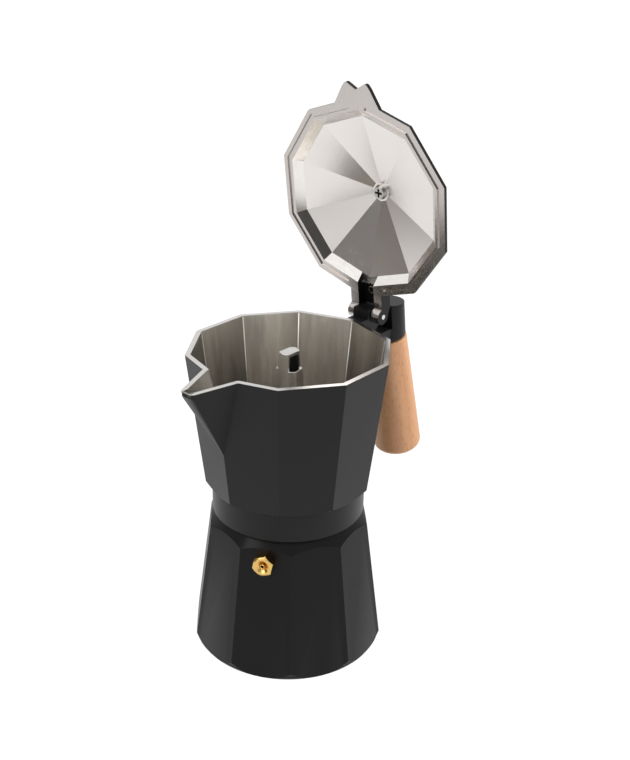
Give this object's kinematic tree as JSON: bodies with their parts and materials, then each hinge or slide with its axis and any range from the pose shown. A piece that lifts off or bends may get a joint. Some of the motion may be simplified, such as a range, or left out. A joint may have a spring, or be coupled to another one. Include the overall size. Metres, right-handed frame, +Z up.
{
  "type": "stovetop moka pot",
  "caption": "Faceted stovetop coffee maker: screw-on collector over a boiler, lift-out funnel, hinged lid, pouring spout, safety valve and wooden handle.",
  "frame": {"origin": "centre of the base, on the plane that the pot stands on", "axes": "+Z up along the pot, +X towards the hinge and the handle, -X towards the spout"},
  "size_m": [0.1767, 0.101, 0.2857],
  "materials": {
    "black_lacquer": "matte black lacquer outside, bare machined metal inside",
    "bare_aluminium": "spun and satin",
    "brass": "machined bright",
    "steel": "bright zinc",
    "gasket_rubber": "matt",
    "black_nylon": "fine matt grain",
    "beech": "oiled, long grain"
  },
  "bodies": {
    "boiler": {"boiler": "black_lacquer", "valve_body": "brass", "valve_seat": "brass", "valve_spring": "steel"},
    "plunger": {"valve_plunger": "brass"},
    "funnel": {"funnel_basket": "bare_aluminium", "funnel_stem": "bare_aluminium", "funnel_screen": "bare_aluminium"},
    "seals": {"gasket": "gasket_rubber", "filter_plate": "bare_aluminium"},
    "collector": {"collector": "black_lacquer", "column": "bare_aluminium", "hinge_pin": "steel", "handle_bracket": "black_nylon", "bracket_screw": "steel", "bracket_insert": "brass", "handle_grip": "beech", "grip_washer": "steel", "grip_bolt": "steel"},
    "lid": {"lid": "black_lacquer", "knob": "beech", "knob_insert": "brass", "knob_washer": "steel", "knob_screw": "steel"}
  },
  "joints": [
    {"name": "funnel_lift", "type": "slide", "parent": "boiler", "child": "funnel", "axis": [0, 0, 1], "range_m": [0, 0.095]},
    {"name": "thread_lift", "type": "slide", "parent": "funnel", "child": "seals", "axis": [0, 0, 1], "range_m": [0, 0.008]},
    {"name": "collector_turn", "type": "hinge", "parent": "seals", "child": "collector", "pos_m": [0, 0, 0.085], "axis": [0, 0, 1], "range_deg": [0, 720]},
    {"name": "lid_hinge", "type": "hinge", "parent": "collector", "child": "lid", "pos_m": [0.062, 0, 0.165], "axis": [0, -1, 0], "range_deg": [0, 82.3]},
    {"name": "valve_relief", "type": "slide", "parent": "boiler", "child": "plunger", "axis": [-0.8913, -0.4347, 0.1292], "range_m": [0, 0.0012], "stiffness_N_per_m": 2000, "springref_m": -0.001, "deforming": ["valve_spring"]}
  ],
  "couplings": [
    {"joint": "thread_lift", "follows": "collector_turn", "m_per_rad": 0.00063662}
  ]
}
